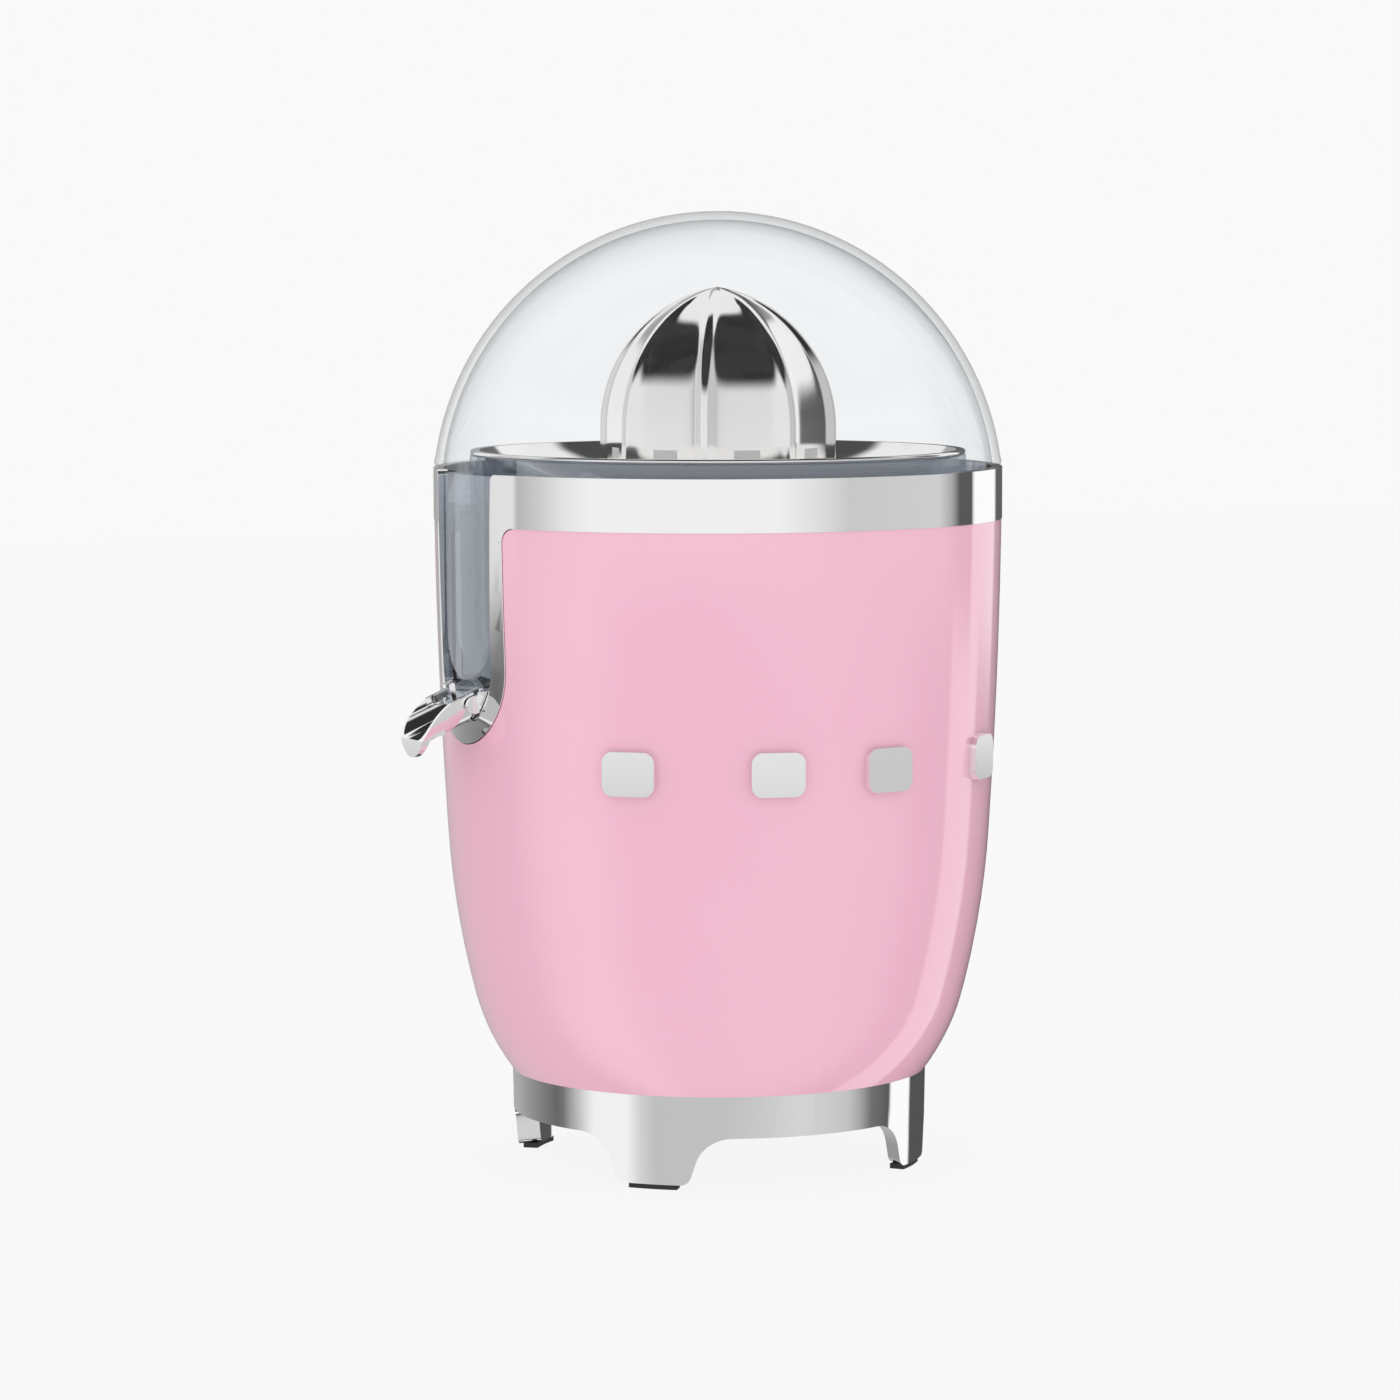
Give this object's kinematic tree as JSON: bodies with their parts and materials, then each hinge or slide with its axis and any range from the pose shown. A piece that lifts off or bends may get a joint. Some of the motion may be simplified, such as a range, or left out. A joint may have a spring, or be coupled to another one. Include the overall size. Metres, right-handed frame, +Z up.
{
  "type": "citrus press juicer",
  "caption": "Electric citrus press: tapered enamelled body on a bright footed ring, clear domed lid, ribbed steel cone, strainer, clear bowl and a tilting steel spout.",
  "frame": {"origin": "on the juicer's vertical axis, on the surface that its feet stand on", "axes": "+Z up, the spout points along -Y, the cable inlet is at the back on +Y, and the badges face +X"},
  "size_m": [0.1674, 0.1822, 0.28],
  "materials": {
    "enamel": "glossy pastel enamel",
    "chrome": "bright chrome plating",
    "polished_steel": "polished stainless steel",
    "steel": "polished stainless steel sheet",
    "clear_plastic": "clear moulded plastic",
    "rubber": "matt black rubber",
    "grey_plastic": "moulded plastic",
    "white_plastic": "moulded nylon",
    "black_plastic": "moulded plastic",
    "gear_plastic": "moulded acetal",
    "shaft_steel": "plain machined steel",
    "bronze": "sintered bronze",
    "ferrite": "dark magnet ring",
    "board": "circuit board laminate"
  },
  "bodies": {
    "base": {"badge_1": "chrome", "badge_2": "chrome", "badge_3": "chrome", "badge_4": "chrome", "base_plate": "grey_plastic", "base_ring": "chrome", "base_screws": "shaft_steel", "board_rail": "grey_plastic", "body_shell": "enamel", "cable_inlet": "rubber", "capacitor": "black_plastic", "chassis": "grey_plastic", "circuit_board": "board", "foot_pads": "rubber", "gear_cover": "grey_plastic", "idler_pin": "shaft_steel", "motor_bushes": "bronze", "motor_can": "shaft_steel", "motor_field": "ferrite", "motor_screws": "shaft_steel", "relay": "black_plastic", "return_spring": "shaft_steel", "slot_frame": "chrome", "spindle_bush_lower": "bronze", "spindle_bush_upper": "bronze", "spindle_seal": "rubber", "spout_channel": "polished_steel", "spout_gasket": "rubber", "spout_pins": "polished_steel", "switch_bracket": "shaft_steel", "switch_case": "black_plastic", "well_liner": "grey_plastic"},
    "carrier": {"thrust_cup": "white_plastic"},
    "shaft": {"spindle": "shaft_steel", "output_gear": "gear_plastic"},
    "idler": {"idler_gear": "gear_plastic"},
    "rotor": {"motor_armature": "shaft_steel", "motor_pinion": "bronze"},
    "plunger": {"switch_plunger": "white_plastic"},
    "bowl": {"juice_bowl": "clear_plastic"},
    "spout_flap": {"spout_lip": "polished_steel"},
    "strainer": {"strainer": "steel"},
    "reamer_seat": {"wear_ring": "white_plastic"},
    "reamer_guide": {"reamer_bush": "white_plastic"},
    "reamer": {"reamer_cone": "steel", "drive_hub": "white_plastic"},
    "lid": {"lid_dome": "clear_plastic"}
  },
  "joints": [
    {"name": "spindle_press", "type": "slide", "parent": "base", "child": "carrier", "axis": [0, 0, 1], "range_m": [-0.0025, 0], "stiffness_N_per_m": 1500, "springref_m": 0.004, "deforming": ["return_spring"]},
    {"name": "spindle_spin", "type": "hinge", "parent": "carrier", "child": "shaft", "pos_m": [0, 0, 0.1], "axis": [0, 0, 1], "continuous": true},
    {"name": "idler_spin", "type": "hinge", "parent": "base", "child": "idler", "pos_m": [0.0234, 0.02866, 0.1], "axis": [0, 0, 1], "continuous": true},
    {"name": "rotor_spin", "type": "hinge", "parent": "base", "child": "rotor", "pos_m": [0, 0.034, 0.07], "axis": [0, 0, 1], "continuous": true},
    {"name": "switch_press", "type": "slide", "parent": "base", "child": "plunger", "axis": [0, 0, 1], "range_m": [-0.0025, 0]},
    {"name": "bowl_lift", "type": "slide", "parent": "base", "child": "bowl", "axis": [0, 0, 1], "range_m": [0, 0.1]},
    {"name": "spout_flip", "type": "hinge", "parent": "base", "child": "spout_flap", "pos_m": [0, -0.08366, 0.13876], "axis": [-1, 0, 0], "range_deg": [0, 32]},
    {"name": "strainer_lift", "type": "slide", "parent": "bowl", "child": "strainer", "axis": [0, 0, 1], "range_m": [0, 0.08]},
    {"name": "reamer_lift", "type": "slide", "parent": "strainer", "child": "reamer_seat", "axis": [0, 0, 1], "range_m": [0, 0.07]},
    {"name": "reamer_press", "type": "slide", "parent": "reamer_seat", "child": "reamer_guide", "axis": [0, 0, 1], "range_m": [-0.0025, 0]},
    {"name": "reamer_spin", "type": "hinge", "parent": "reamer_guide", "child": "reamer", "pos_m": [0, 0, 0.21], "axis": [0, 0, 1], "continuous": true},
    {"name": "lid_lift", "type": "slide", "parent": "reamer_seat", "child": "lid", "axis": [0, 0, 1], "range_m": [0, 0.12]}
  ],
  "couplings": [
    {"joint": "idler_spin", "follows": "rotor_spin", "ratio": -0.25},
    {"joint": "spindle_spin", "follows": "rotor_spin", "ratio": 0.058333},
    {"joint": "reamer_spin", "follows": "rotor_spin", "ratio": 0.058333},
    {"joint": "switch_press", "follows": "spindle_press", "ratio": 1},
    {"joint": "reamer_press", "follows": "spindle_press", "ratio": 1}
  ]
}
